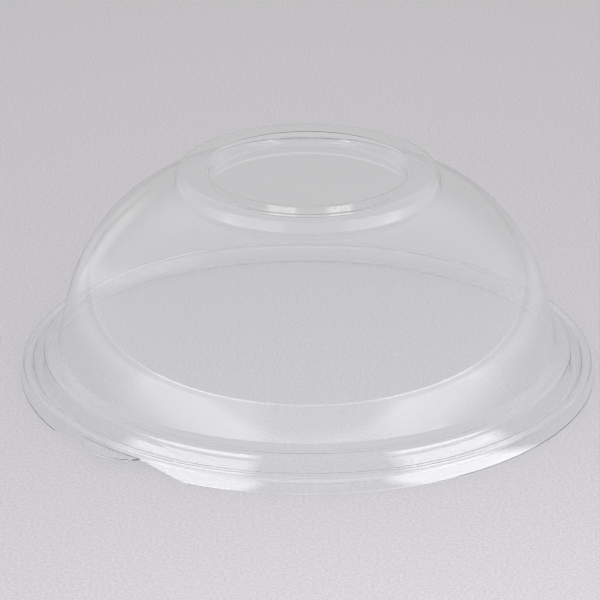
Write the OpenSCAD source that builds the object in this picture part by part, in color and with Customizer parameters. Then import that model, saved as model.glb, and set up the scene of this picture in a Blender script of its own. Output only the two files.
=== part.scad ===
// Clear thermoformed dome lid for a round serving bowl, standing on the bottom edge of its rim.
// Origin: centre of the lid at the level of the bottom edge. +Z points up, out of the crown.
// The lid is one formed sheet: its section is a chain of straight walls and rounded bends.

/* [Sheet] */
// Thickness of the formed sheet
sheet_t = 0.5; // [0.4:0.1:0.7]
// Outer face's radius in the tight bends, at the foot of each wall
bend_r = 1.1; // [0.9:0.1:1.3]
// Outer face's radius over the ridges: the bead's two corners and the ledge's edge
ridge_r = 1.4; // [1.2:0.1:1.5]

/* [Rim] */
// Radius of the rim's outer corner
rim_r = 110; // [100:1:120]
// Height of the rim bead above the bottom edge
bead_h = 6.4; // [6:0.1:8]
// Width of the bead's level top
bead_w = 3.4; // [3.2:0.1:4.5]
// How far the skirt leans out on its way down to the bottom edge
skirt_flare = 1.4; // [0.6:0.1:2]

/* [Seal groove] */
// Height of the groove's bottom above the bottom edge
groove_z = 1.1; // [0.6:0.1:2]
// Width of the groove's level bottom
groove_w = 2.2; // [2.2:0.1:3.5]
// How far the groove's outer wall leans out as it rises to the bead
groove_lean = 1.6; // [1:0.1:3]
// How far the plug wall leans in as it rises to the ledge
plug_lean = 0.7; // [0.3:0.1:1.5]

/* [Ledge] */
// Height of the ledge above the bottom edge
ledge_z = 11.2; // [10.5:0.1:13]
// Width of the ledge, from its edge to the foot of the dome wall
ledge_w = 5.2; // [4.5:0.1:6.5]
// Radius of the bend where the dome wall turns out onto the ledge
foot_bend_r = 2.2; // [1.2:0.1:2.6]

/* [Dome] */
// Height up to which the dome wall is a straight cone
wall_top_z = 26; // [20:0.5:32]
// Height of the middle of the shoulder's curve, just under the ledge
dome_z = 9.2; // [6:0.1:10]
// Half the width of the shoulder's curve
shoulder_w = 55.4; // [50:0.2:60]
// Half the height of the shoulder's curve
shoulder_h = 67.7; // [50:0.1:80]

/* [Crown] */
// Radius of the raised crown at its foot
crown_r = 51; // [46:0.5:56]
// Height of the crown above the dome
crown_h = 6.8; // [5:0.1:9]
// How far the crown's wall leans in as it rises
crown_lean = 0.9; // [0.5:0.1:2]
// Radius over the crown's outer edge
crown_edge_r = 2.8; // [1.5:0.1:3.5]
// Radius of the crown's round recess at its mouth
recess_r = 37.9; // [30:0.1:42]
// Depth of the recess
recess_d = 4.8; // [3.5:0.1:6]
// How far the recess wall leans in as it goes down
recess_lean = 0.8; // [0.4:0.1:3]
// Radius over the recess's mouth
mouth_r = 2; // [1.2:0.1:2.5]

/* [Thumb tab] */
// Direction of the tab around the rim, in degrees from +X
tab_angle = 229; // [180:1:360]
// Height of the tab's underside above the bottom edge
tab_z = 4; // [3.6:0.1:4.4]
// How far the tab stands out beyond the rim's outer corner
tab_reach = 6.6; // [4:0.1:10]
// Radius of the tab's round end
tab_r = 18; // [12:0.5:24]
// How much wider than the tab the skirt is cut away under it, on each side
relief_margin = 3; // [1:0.5:6]
// How far the cut in the skirt spreads sideways on its way down
relief_spread = 16; // [8:0.5:20]

/* [Hidden] */
clear_pet = [0.86, 0.88, 0.9, 0.45];
$fn = 180;
bend_steps = 8;
dome_steps = 40;
past = 1;

// Radii of the section's corners, worked inwards from the rim.
bottom_r = rim_r + skirt_flare;
bead_in_r = rim_r - bead_w;
groove_out_r = bead_in_r - groove_lean;
groove_in_r = groove_out_r - groove_w;
ledge_r = groove_in_r - plug_lean;
foot_r = ledge_r - ledge_w;

// The shoulder is part of an ellipse, from the top of the straight wall to the crown's foot. The
// wall runs on from it without a fold.
start_a = asin((wall_top_z - dome_z) / shoulder_h);
wall_slope = shoulder_w * sin(start_a) / (shoulder_h * cos(start_a));
shoulder_r = foot_r - (wall_top_z - ledge_z) * wall_slope - shoulder_w * cos(start_a);
end_a = acos((crown_r - shoulder_r) / shoulder_w);
crown_z = dome_z + shoulder_h * sin(end_a);
crown_top_r = crown_r - crown_lean;
crown_top_z = crown_z + crown_h;
recess_z = crown_top_z - recess_d;
floor_r = recess_r - recess_lean;

// Width of the tab where it leaves the skirt, and the radius at which it joins the skirt's wall.
tab_centre_r = rim_r + tab_reach - tab_r;
tab_half_w = tab_r * sin(acos((rim_r - tab_centre_r) / tab_r));
skirt_r_at_tab = rim_r + skirt_flare * (bead_h - tab_z) / bead_h;

function on_shoulder(a) = [shoulder_r + shoulder_w * cos(a), dome_z + shoulder_h * sin(a)];

// The outer face of the sheet from the bottom edge to the axis: [radius, height, bend radius].
// A bend radius of 0 is a plain point.
corners = concat(
    [
        [bottom_r, 0, 0],
        [rim_r, bead_h, ridge_r],
        [bead_in_r, bead_h, ridge_r],
        [groove_out_r, groove_z, bend_r],
        [groove_in_r, groove_z, bend_r],
        [ledge_r, ledge_z, ridge_r],
        [foot_r, ledge_z, foot_bend_r]
    ],
    [for (k = [0 : dome_steps - 1])
        concat(on_shoulder(start_a + (end_a - start_a) * k / dome_steps), 0)],
    [
        concat(on_shoulder(end_a), bend_r),
        [crown_top_r, crown_top_z, crown_edge_r],
        [recess_r, crown_top_z, mouth_r],
        [floor_r, recess_z, bend_r],
        [0, recess_z, 0]
    ]
);

function at(c) = [c[0], c[1]];
function unit(v) = v / norm(v);
function left_of(v) = [-v[1], v[0]];

// Points of the round bend that replaces corner c between its neighbours a and b.
function bend(a, c, b) =
    let (
        u = unit(at(a) - at(c)),
        v = unit(at(b) - at(c)),
        half = acos(u * v) / 2,
        centre = at(c) + unit(u + v) * c[2] / sin(half),
        from = at(c) + u * c[2] / tan(half) - centre,
        side = sign(u[0] * v[1] - u[1] * v[0]),
        turn = -side * (180 - 2 * half)
    )
    [for (k = [0 : bend_steps])
        let (t = turn * k / bend_steps)
        centre + [from[0] * cos(t) - from[1] * sin(t), from[0] * sin(t) + from[1] * cos(t)]];

function rounded(list) = [for (k = [0 : len(list) - 1])
    let (c = list[k])
    each c[2] == 0 ? [at(c)] : bend(list[k - 1], c, list[k + 1])];

// The same line moved to its left by t, with mitred corners.
function beside(line, t) = [for (k = [0 : len(line) - 1])
    let (
        last = len(line) - 1,
        n = left_of(unit(line[min(k + 1, last)] - line[min(k, last - 1)])),
        m = left_of(unit(line[max(k, 1)] - line[max(k - 1, 0)]))
    )
    line[k] + (n + m) * t / (1 + n * m)];

function reversed(list) = [for (k = [len(list) - 1 : -1 : 0]) list[k]];

// The bottom edge is trimmed level.
function trimmed(line) = concat([[line[0][0], 0]], [for (k = [1 : len(line) - 1]) line[k]]);

outer = rounded(corners);
inner = trimmed(beside(outer, sheet_t));

module formed_sheet() {
    rotate_extrude()
        polygon(concat(outer, reversed(inner)));
}

// Trapezium that takes the lower skirt away behind the tab.
module skirt_relief() {
    top_w = tab_half_w + relief_margin;
    bottom_w = top_w + relief_spread;
    slope = relief_spread / tab_z;
    translate([groove_out_r, 0, 0])
        rotate([90, 0, 90])
            linear_extrude(tab_r + tab_reach)
                polygon([
                    [-bottom_w - slope * past, -past],
                    [bottom_w + slope * past, -past],
                    [top_w, tab_z],
                    [-top_w, tab_z]
                ]);
}

module tab_plate() {
    translate([0, 0, tab_z])
        linear_extrude(sheet_t)
            difference() {
                translate([tab_centre_r, 0])
                    circle(tab_r);
                circle(skirt_r_at_tab - sheet_t / 2);
            }
}

module dome_lid() {
    color(clear_pet) {
        difference() {
            formed_sheet();
            rotate([0, 0, tab_angle])
                skirt_relief();
        }
        rotate([0, 0, tab_angle])
            tab_plate();
    }
}

dome_lid();
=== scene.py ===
# Clear dome lid: one formed sheet with its rim, ledge, crown and thumb tab, on a pale studio floor.
from math import acos, asin, cos, pi, radians, sin, tan

import bmesh
import bpy
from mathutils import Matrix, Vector


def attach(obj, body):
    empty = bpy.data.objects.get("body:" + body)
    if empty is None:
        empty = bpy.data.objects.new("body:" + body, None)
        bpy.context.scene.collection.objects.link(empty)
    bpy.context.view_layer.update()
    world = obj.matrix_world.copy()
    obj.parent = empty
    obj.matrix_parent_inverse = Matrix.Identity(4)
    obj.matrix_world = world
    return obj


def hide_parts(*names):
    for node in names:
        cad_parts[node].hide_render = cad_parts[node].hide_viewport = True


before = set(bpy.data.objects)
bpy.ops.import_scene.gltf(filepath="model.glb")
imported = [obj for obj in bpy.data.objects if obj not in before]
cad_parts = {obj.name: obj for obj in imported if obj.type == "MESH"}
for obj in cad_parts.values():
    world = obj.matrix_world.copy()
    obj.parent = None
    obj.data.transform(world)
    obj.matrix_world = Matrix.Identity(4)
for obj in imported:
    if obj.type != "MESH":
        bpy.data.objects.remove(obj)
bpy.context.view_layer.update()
bpy.ops.object.select_all(action="DESELECT")
mm = 0.001

print("camera")
camera = {
    "lens": 191,                             # mm, on a 36 mm sensor
    "position": (-0.0029, -1.1294, 0.5179),  # metres
    "aim": (-0.0029, 0, 0.0275),
}


def placeCamera():
    bpy.ops.object.camera_add(location=camera["position"])
    rig = bpy.context.object
    rig.name = "camera"
    rig.data.lens = camera["lens"]
    sight = Vector(camera["aim"]) - Vector(camera["position"])
    rig.rotation_euler = sight.to_track_quat("-Z", "Y").to_euler()
    bpy.context.scene.camera = rig
    bpy.ops.object.select_all(action="DESELECT")


placeCamera()

print("formed sheet")
lid = {                       # millimetres, the same sizes as the solid's
    "sheet": 0.5,
    "tightBend": 1.1,         # outer radius at the foot of each wall
    "ridgeBend": 1.4,         # outer radius over the bead's corners and the ledge's edge
    "rimRadius": 110,
    "beadHeight": 6.4,
    "beadWidth": 3.4,
    "skirtFlare": 1.4,
    "grooveHeight": 1.1,
    "grooveWidth": 2.2,
    "grooveLean": 1.6,
    "plugLean": 0.7,
    "ledgeHeight": 11.2,
    "ledgeWidth": 5.2,
    "footBend": 2.2,          # where the dome wall turns out onto the ledge
    "wallTop": 26,            # height up to which the dome wall is a straight cone
    "domeHeight": 9.2,        # height of the middle of the shoulder's curve
    "shoulderWidth": 55.4,    # half the width and height of that curve
    "shoulderHeight": 67.7,
    "crownRadius": 51,
    "crownHeight": 6.8,
    "crownLean": 0.9,
    "crownBend": 2.8,
    "recessRadius": 37.9,
    "recessDepth": 4.8,
    "recessLean": 0.8,
    "mouthBend": 2,
    "shoulderSteps": 40,      # straight steps along the shoulder's curve
    "bendSteps": 6,           # steps round each bend
    "turnSteps": 320,         # steps round the axis
}
tab = {                 # millimetres
    "angle": 229,       # degrees from +X
    "height": 4,        # of its underside above the bottom edge
    "reach": 6.6,       # beyond the rim's outer corner
    "roundness": 18,    # radius of its end
    "margin": 3,        # how much wider than the tab the skirt is cut away
    "spread": 16,       # how far that cut widens on its way down
    "edge": 0.12,       # rounding of the tab's edge
    "turnSteps": 160,
}
tabCentre = lid["rimRadius"] + tab["reach"] - tab["roundness"]
outwards = Vector((cos(radians(tab["angle"])), sin(radians(tab["angle"])), 0))
across = Vector((-outwards.y, outwards.x, 0))
skirtAtTab = lid["rimRadius"] + lid["skirtFlare"] * (1 - tab["height"] / lid["beadHeight"])


# Corners of the outer face from the bottom edge to the axis: radius, height and bend, in millimetres.
def sectionCorners():
    beadInside = lid["rimRadius"] - lid["beadWidth"]
    grooveOutside = beadInside - lid["grooveLean"]
    grooveInside = grooveOutside - lid["grooveWidth"]
    ledge = grooveInside - lid["plugLean"]
    foot = ledge - lid["ledgeWidth"]

    # the shoulder is part of an ellipse, which the straight wall below it runs into without a fold
    start = asin((lid["wallTop"] - lid["domeHeight"]) / lid["shoulderHeight"])
    slope = lid["shoulderWidth"] * sin(start) / (lid["shoulderHeight"] * cos(start))
    wallTop = foot - (lid["wallTop"] - lid["ledgeHeight"]) * slope
    middle = wallTop - lid["shoulderWidth"] * cos(start)
    end = acos((lid["crownRadius"] - middle) / lid["shoulderWidth"])
    shoulder = []
    for step in range(lid["shoulderSteps"] + 1):
        angle = start + (end - start) * step / lid["shoulderSteps"]
        shoulder.append((middle + lid["shoulderWidth"] * cos(angle),
                         lid["domeHeight"] + lid["shoulderHeight"] * sin(angle), 0))
    crownFoot = (*shoulder[-1][:2], lid["tightBend"])
    crownTop = crownFoot[1] + lid["crownHeight"]
    recessFloor = crownTop - lid["recessDepth"]

    return [
        (lid["rimRadius"] + lid["skirtFlare"], 0, 0),
        (skirtAtTab, tab["height"], 0),
        (lid["rimRadius"], lid["beadHeight"], lid["ridgeBend"]),
        (beadInside, lid["beadHeight"], lid["ridgeBend"]),
        (grooveOutside, lid["grooveHeight"], lid["tightBend"]),
        (grooveInside, lid["grooveHeight"], lid["tightBend"]),
        (ledge, lid["ledgeHeight"], lid["ridgeBend"]),
        (foot, lid["ledgeHeight"], lid["footBend"]),
        *shoulder[:-2],
        crownFoot,
        (lid["crownRadius"] - lid["crownLean"], crownTop, lid["crownBend"]),
        (lid["recessRadius"], crownTop, lid["mouthBend"]),
        (lid["recessRadius"] - lid["recessLean"], recessFloor, lid["tightBend"]),
        (0, recessFloor, 0),
    ]


def inSection(corner):
    return Vector((corner[0], 0, corner[1])) * mm


# Selects the points or faces of the piece in edit mode that pass a test of their place.
def selectWhere(piece, test, kind="verts"):
    bpy.ops.mesh.select_mode(type="VERT" if kind == "verts" else "FACE")
    bpy.ops.mesh.select_all(action="DESELECT")
    mesh = bmesh.from_edit_mesh(piece.data)
    for part in getattr(mesh, kind):
        place = part.co if kind == "verts" else part.calc_center_median()
        part.select_set(test(place))
    mesh.select_flush_mode()
    bmesh.update_edit_mesh(piece.data)


# Rounds one corner of the drawn line: the bevel starts where the bend's arc leaves each straight wall.
def roundCorner(piece, before, corner, after):
    place = inSection(corner)
    halfAngle = (inSection(before) - place).angle(inSection(after) - place) / 2
    selectWhere(piece, lambda point: (point - place).length < 0.01 * mm)
    bpy.ops.mesh.bevel(offset_type="OFFSET", affect="VERTICES", segments=lid["bendSteps"],
                       offset=corner[2] * mm / tan(halfAngle))


# A point is pulled from corner to corner, the corners are rounded, and the line is spun round the axis.
def spinSheet():
    corners = sectionCorners()
    bpy.ops.mesh.primitive_plane_add(size=mm, location=inSection(corners[0]))
    piece = bpy.context.object
    piece.name = "formed_sheet"
    bpy.ops.object.transform_apply(location=True, rotation=False, scale=False)
    bpy.ops.object.mode_set(mode="EDIT")
    bpy.ops.mesh.select_all(action="SELECT")
    bpy.ops.mesh.merge(type="CENTER")
    for here, there in zip(corners, corners[1:]):
        step = inSection(there) - inSection(here)
        bpy.ops.mesh.extrude_region_move(TRANSFORM_OT_translate={"value": step})
    for before, corner, after in zip(corners, corners[1:], corners[2:]):
        if corner[2]:
            roundCorner(piece, before, corner, after)
    bpy.ops.mesh.select_all(action="SELECT")
    bpy.ops.mesh.spin(steps=lid["turnSteps"], angle=2 * pi, center=(0, 0, 0), axis=(0, 0, 1))
    bpy.ops.mesh.select_all(action="SELECT")
    bpy.ops.mesh.remove_doubles(threshold=0.001 * mm)
    bpy.ops.mesh.normals_make_consistent(inside=False)
    bpy.ops.object.mode_set(mode="OBJECT")
    return piece


# Cuts the lower skirt away behind the tab, to a line that slants out on both sides.
def cutRelief(piece):
    tabHalf = tab["roundness"] * sin(acos((lid["rimRadius"] - tabCentre) / tab["roundness"]))
    topHalf = (tabHalf + tab["margin"]) * mm
    spread = tab["spread"] * mm
    top = tab["height"] * mm
    nearTab = topHalf + 2 * spread

    def onSkirt(place):
        return (place.xy.length > lid["rimRadius"] * mm and place.z < lid["beadHeight"] * mm
                and place.dot(outwards) > 0 and abs(place.dot(across)) < nearTab)

    def inRelief(place):
        reach = topHalf + spread * (top - place.z) / top
        return onSkirt(place) and place.z < top and abs(place.dot(across)) < reach

    up = Vector((0, 0, 1))
    cuts = []
    for side in (-1, 1):
        cuts.append((up * top + across * side * topHalf, across * side * top + up * spread))
    bpy.ops.object.mode_set(mode="EDIT")
    for place, normal in cuts:
        selectWhere(piece, onSkirt, "faces")
        bpy.ops.mesh.bisect(plane_co=place, plane_no=normal.normalized(), threshold=0.0001 * mm)
    selectWhere(piece, inRelief, "faces")
    bpy.ops.mesh.delete(type="FACE")
    bpy.ops.object.mode_set(mode="OBJECT")


def applyModifier(piece, name, kind, **settings):
    modifier = piece.modifiers.new(name, kind)
    for setting, value in settings.items():
        setattr(modifier, setting, value)
    bpy.ops.object.select_all(action="DESELECT")
    piece.select_set(True)
    bpy.context.view_layer.objects.active = piece
    bpy.ops.object.modifier_apply(modifier=name)


# Gives the sheet its wall, and trims the bottom edge level.
def thicken(piece):
    applyModifier(piece, "wall", "SOLIDIFY", thickness=lid["sheet"] * mm, offset=-1,
                  use_even_offset=True, use_quality_normals=True)
    bpy.ops.object.mode_set(mode="EDIT")
    selectWhere(piece, lambda point: point.z < lid["sheet"] * mm / 2)
    bpy.ops.transform.resize(value=(1, 1, 0), center_override=(0, 0, 0))
    bpy.ops.object.mode_set(mode="OBJECT")


def addRound(name, radius, depth, place, steps):
    bpy.ops.mesh.primitive_cylinder_add(vertices=steps, radius=radius, depth=depth, location=place)
    piece = bpy.context.object
    piece.name = name
    bpy.ops.object.transform_apply(location=True, rotation=False, scale=False)
    return piece


# The tab is a round plate, hollowed to the skirt's middle and joined to it.
def joinTab(piece):
    height = (tab["height"] + lid["sheet"] / 2) * mm
    plate = addRound("thumb_tab", tab["roundness"] * mm, lid["sheet"] * mm,
                     outwards * tabCentre * mm + Vector((0, 0, height)), tab["turnSteps"])
    hollow = addRound("hollow", (skirtAtTab - lid["sheet"] / 2) * mm, 4 * lid["sheet"] * mm,
                      (0, 0, height), 2 * lid["turnSteps"])
    applyModifier(plate, "hollow", "BOOLEAN", operation="DIFFERENCE", object=hollow)
    applyModifier(plate, "edge", "BEVEL", width=tab["edge"] * mm, segments=2,
                  limit_method="ANGLE", angle_limit=radians(60))
    applyModifier(piece, "tab", "BOOLEAN", operation="UNION", object=plate)
    for used in (plate, hollow):
        bpy.data.objects.remove(used)


formedSheet = spinSheet()
cutRelief(formedSheet)
thicken(formedSheet)
print("thumb tab")
joinTab(formedSheet)
bpy.ops.object.shade_smooth_by_angle(angle=radians(35))
applyModifier(formedSheet, "normals", "WEIGHTED_NORMAL", keep_sharp=True)

print("clear plastic")
plastic = {
    "colour": (0.985, 0.99, 0.992, 1),
    "ior": 1.57,
    "roughness": (0.02, 0.035),       # least and most
    "waveScale": 24,                  # slow waves of the formed sheet, per metre
    "waveDepth": 0.00003,             # metres
    "grainScale": 120,                # spots that are more and less rough, per metre
    "grainSpan": (0.3, 0.7),          # the noise's values that give the least and most roughness
    "shade": (0.965, 0.968, 0.972, 1),    # what the sheet lets through of the lamps' light
}


# Adds a node of a kind, with its settings and the values of its sockets.
def addNode(tree, kind, inputs=None, **settings):
    node = tree.nodes.new(kind)
    for setting, value in settings.items():
        setattr(node, setting, value)
    for socket, value in (inputs or {}).items():
        if isinstance(value, bpy.types.NodeSocket):
            tree.links.new(value, node.inputs[socket])
        else:
            node.inputs[socket].default_value = value
    return node


def newMaterial(name):
    material = bpy.data.materials.new(name)
    material.use_nodes = True
    material.node_tree.nodes.clear()
    return material, material.node_tree


# Clear sheet with slow waves. Lamps shine through it, as its thin wall hardly bends their light.
def clearPlastic():
    material, tree = newMaterial("clear_plastic")
    place = addNode(tree, "ShaderNodeTexCoord").outputs["Object"]
    waves = addNode(tree, "ShaderNodeTexNoise", {"Vector": place, "Scale": plastic["waveScale"],
                                                 "Detail": 1})
    grain = addNode(tree, "ShaderNodeTexNoise", {"Vector": place, "Scale": plastic["grainScale"],
                                                 "Detail": 2})
    bump = addNode(tree, "ShaderNodeBump", {"Height": waves.outputs["Fac"], "Strength": 1,
                                            "Distance": plastic["waveDepth"]})
    low, high = plastic["grainSpan"]
    least, most = plastic["roughness"]
    rough = addNode(tree, "ShaderNodeMapRange", {"Value": grain.outputs["Fac"], "From Min": low,
                                                 "From Max": high, "To Min": least, "To Max": most})
    sheet = addNode(tree, "ShaderNodeBsdfPrincipled", {
        "Base Color": plastic["colour"], "Roughness": rough.outputs["Result"],
        "IOR": plastic["ior"], "Transmission Weight": 1, "Normal": bump.outputs["Normal"]})
    through = addNode(tree, "ShaderNodeBsdfTransparent", {"Color": plastic["shade"]})
    ray = addNode(tree, "ShaderNodeLightPath")
    lamps = addNode(tree, "ShaderNodeMath", {0: ray.outputs["Is Shadow Ray"],
                                             1: ray.outputs["Is Diffuse Ray"]}, operation="MAXIMUM")
    mix = addNode(tree, "ShaderNodeMixShader", {"Fac": lamps.outputs["Value"],
                                                1: sheet.outputs["BSDF"], 2: through.outputs["BSDF"]})
    addNode(tree, "ShaderNodeOutputMaterial", {"Surface": mix.outputs["Shader"]})
    return material


formedSheet.data.materials.append(clearPlastic())
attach(formedSheet, "root")
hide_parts("dome_lid")

print("floor")
floorSize = 9              # metres
floorGap = 0.02 * mm       # between the floor and the lid's bottom edge
floorLook = {
    "pale": (0.66, 0.645, 0.66, 1),
    "dark": (0.4, 0.387, 0.4, 1),
    "mottle": 900,               # per metre
    "roughness": 0.75,
    "specular": 0.2,
    # Painted glow, though the floor is no lamp: how much more light it sends to the plastic, where it shows
    # only as a
    #     # painted reflection that makes the plastic's highlights: by the azimuth in degrees, inside the
    #     lid, near the rim and
    #     # further off, and the share of each by the distance from the lid's middle in metres.
    "innerGlow": [(-180, 0), (-160, 0), (-154, 0.5), (-138, 0.5), (-126, 0), (180, 0)],
    "nearGlow": [(-180, 0), (-47, 0), (-41, 2.9), (-15, 2.9), (-11, 0.3), (19, 0.3), (24, 3.2), (46, 3.2),
                 (52, 0), (180, 0)],
    "farGlow": [(-180, 0), (-150, 0), (-120, 0.4), (-95, 0.6), (-76, 1.2), (-66, 2.5), (-24, 2.5),
                (-14, 1.4), (24, 1.4), (36, 2.5), (72, 2.5), (84, 1.2), (105, 0.6), (120, 0.4), (150, 0),
                (180, 0)],
    "innerShare": [(0, 0), (0.086, 0), (0.09, 1), (0.096, 1), (0.099, 0), (9, 0)],
    "nearShare": [(0, 0), (0.106, 0), (0.114, 1), (0.19, 1), (0.27, 0), (9, 0)],
    "farShare": [(0, 0), (0.16, 0), (0.3, 0.6), (0.5, 0.8), (0.62, 0.45), (1.6, 0.5), (2.4, 1.4), (9, 1.4)],
}


# A chain of straight ramps through stops of position and value.
def addRamp(tree, value, stops):
    steps = []
    for (place, height), (nextPlace, nextHeight) in zip(stops, stops[1:]):
        if nextHeight != height:
            steps.append(addNode(tree, "ShaderNodeMapRange", {
                "Value": value, "From Min": place, "From Max": nextPlace,
                "To Max": nextHeight - height}).outputs["Result"])
    total = steps[0]
    for step in steps[1:]:
        total = addNode(tree, "ShaderNodeMath", {0: total, 1: step}, operation="ADD").outputs["Value"]
    return total


# Pale mottled floor, which also carries a painted glow that shows only as painted reflections in the
# plastic.
def paleFloor():
    material, tree = newMaterial("pale_floor")
    place = addNode(tree, "ShaderNodeTexCoord").outputs["Object"]
    mottle = addNode(tree, "ShaderNodeTexNoise", {"Vector": place, "Scale": floorLook["mottle"],
                                                  "Detail": 2})
    colour = addNode(tree, "ShaderNodeMix", {0: mottle.outputs["Fac"], 6: floorLook["dark"],
                                             7: floorLook["pale"]}, data_type="RGBA")
    surface = addNode(tree, "ShaderNodeBsdfPrincipled", {
        "Base Color": colour.outputs[2], "Roughness": floorLook["roughness"],
        "Specular IOR Level": floorLook["specular"]})

    # painted glow zones, by azimuth and distance, which are seen only as painted reflections and highlights
    # in the plastic
    axes = addNode(tree, "ShaderNodeSeparateXYZ", {"Vector": place})
    far = addNode(tree, "ShaderNodeVectorMath", {0: place}, operation="LENGTH")
    front = addNode(tree, "ShaderNodeMath", {0: axes.outputs["Y"], 1: -1}, operation="MULTIPLY")
    turned = addNode(tree, "ShaderNodeMath", {0: axes.outputs["X"], 1: front.outputs["Value"]},
                     operation="ARCTAN2")
    azimuth = addNode(tree, "ShaderNodeMath", {0: turned.outputs["Value"]}, operation="DEGREES")
    glows = []
    for part in ("inner", "near", "far"):
        strength = addRamp(tree, azimuth.outputs["Value"], floorLook[part + "Glow"])
        share = addRamp(tree, far.outputs["Value"], floorLook[part + "Share"])
        glows.append(addNode(tree, "ShaderNodeMath", {0: strength, 1: share}, operation="MULTIPLY"))
    outside = addNode(tree, "ShaderNodeMath", {0: glows[1].outputs["Value"], 1: glows[2].outputs["Value"]})
    power = addNode(tree, "ShaderNodeMath", {0: glows[0].outputs["Value"], 1: outside.outputs["Value"]})
    # the painted glow shines only on rays that have been reflected
    ray = addNode(tree, "ShaderNodeLightPath")
    mirrored = addNode(tree, "ShaderNodeMath", {0: ray.outputs["Glossy Depth"], 1: 1},
                       operation="MINIMUM")
    reflected = addNode(tree, "ShaderNodeMath", {0: power.outputs["Value"],
                                                 1: mirrored.outputs["Value"]},
                        operation="MULTIPLY")
    light = addNode(tree, "ShaderNodeEmission", {"Strength": reflected.outputs["Value"]})
    both = addNode(tree, "ShaderNodeAddShader", {0: surface.outputs["BSDF"],
                                                 1: light.outputs["Emission"]})
    addNode(tree, "ShaderNodeOutputMaterial", {"Surface": both.outputs["Shader"]})
    material.cycles.emission_sampling = "NONE"
    return material


bpy.ops.object.select_all(action="DESELECT")
bpy.ops.mesh.primitive_plane_add(size=floorSize, location=(0, 0, -floorGap))
floor = bpy.context.object
floor.name = "floor"
floor.data.materials.append(paleFloor())

print("studio light")
# Directions are in degrees: azimuth from the camera's side, positive to the right, and elevation. Sizes
# and distances are in metres.
lamps = [
    {"name": "frontLamp", "azimuth": 10, "elevation": 40, "distance": 0.6, "size": (0.3, 0.3),
     "radiance": 3.7},
    {"name": "rearLamp", "azimuth": 180, "elevation": 55, "distance": 0.75, "size": (0.3, 0.3),
     "radiance": 1.4},
]
room = {
    "front": 1.09,     # radiance on the camera's side
    "back": 0.66,      # behind the lid, low down
    "top": 1.18,       # and higher up
    "rise": (0.3, 0.65),    # height of the direction over which it goes from low to high
    "turn": (0.5, 0.9),     # how far back it points, over which it goes from front to back
}


def direction(azimuth, elevation):
    side, height = radians(azimuth), radians(elevation)
    return Vector((sin(side) * cos(height), -cos(side) * cos(height), sin(height)))


def addLamp(values):
    towards = direction(values["azimuth"], values["elevation"])
    bpy.ops.object.light_add(type="AREA", location=towards * values["distance"])
    lamp = bpy.context.object
    lamp.name = values["name"]
    lamp.rotation_euler = towards.to_track_quat("Z", "Y").to_euler()
    lamp.data.shape = "RECTANGLE"
    lamp.data.size, lamp.data.size_y = values["size"]
    lamp.data.energy = values["radiance"] * 4 * values["size"][0] * values["size"][1]
    lamp.visible_camera = False
    lamp.visible_glossy = False
    lamp.visible_transmission = False


def lightRoom():
    world = bpy.data.worlds.new("room")
    bpy.context.scene.world = world
    world.use_nodes = True
    tree = world.node_tree
    tree.nodes.clear()
    place = addNode(tree, "ShaderNodeTexCoord").outputs["Generated"]
    axes = addNode(tree, "ShaderNodeSeparateXYZ", {"Vector": place})
    up = addNode(tree, "ShaderNodeMapRange", {
        "Value": axes.outputs["Z"], "From Min": room["rise"][0], "From Max": room["rise"][1],
        "To Min": room["back"], "To Max": room["top"]}, interpolation_type="SMOOTHSTEP")
    behind = addNode(tree, "ShaderNodeMapRange", {
        "Value": axes.outputs["Y"], "From Min": room["turn"][0], "From Max": room["turn"][1],
        "To Min": room["front"], "To Max": up.outputs["Result"]}, interpolation_type="SMOOTHSTEP")
    light = addNode(tree, "ShaderNodeBackground", {"Strength": behind.outputs["Result"]})
    addNode(tree, "ShaderNodeOutputWorld", {"Surface": light.outputs["Background"]})


for lamp in lamps:
    addLamp(lamp)
lightRoom()

picture = bpy.context.scene
picture.view_settings.view_transform = "Standard"
picture.cycles.max_bounces = 24
picture.cycles.transmission_bounces = 24
picture.cycles.glossy_bounces = 8
picture.cycles.transparent_max_bounces = 32
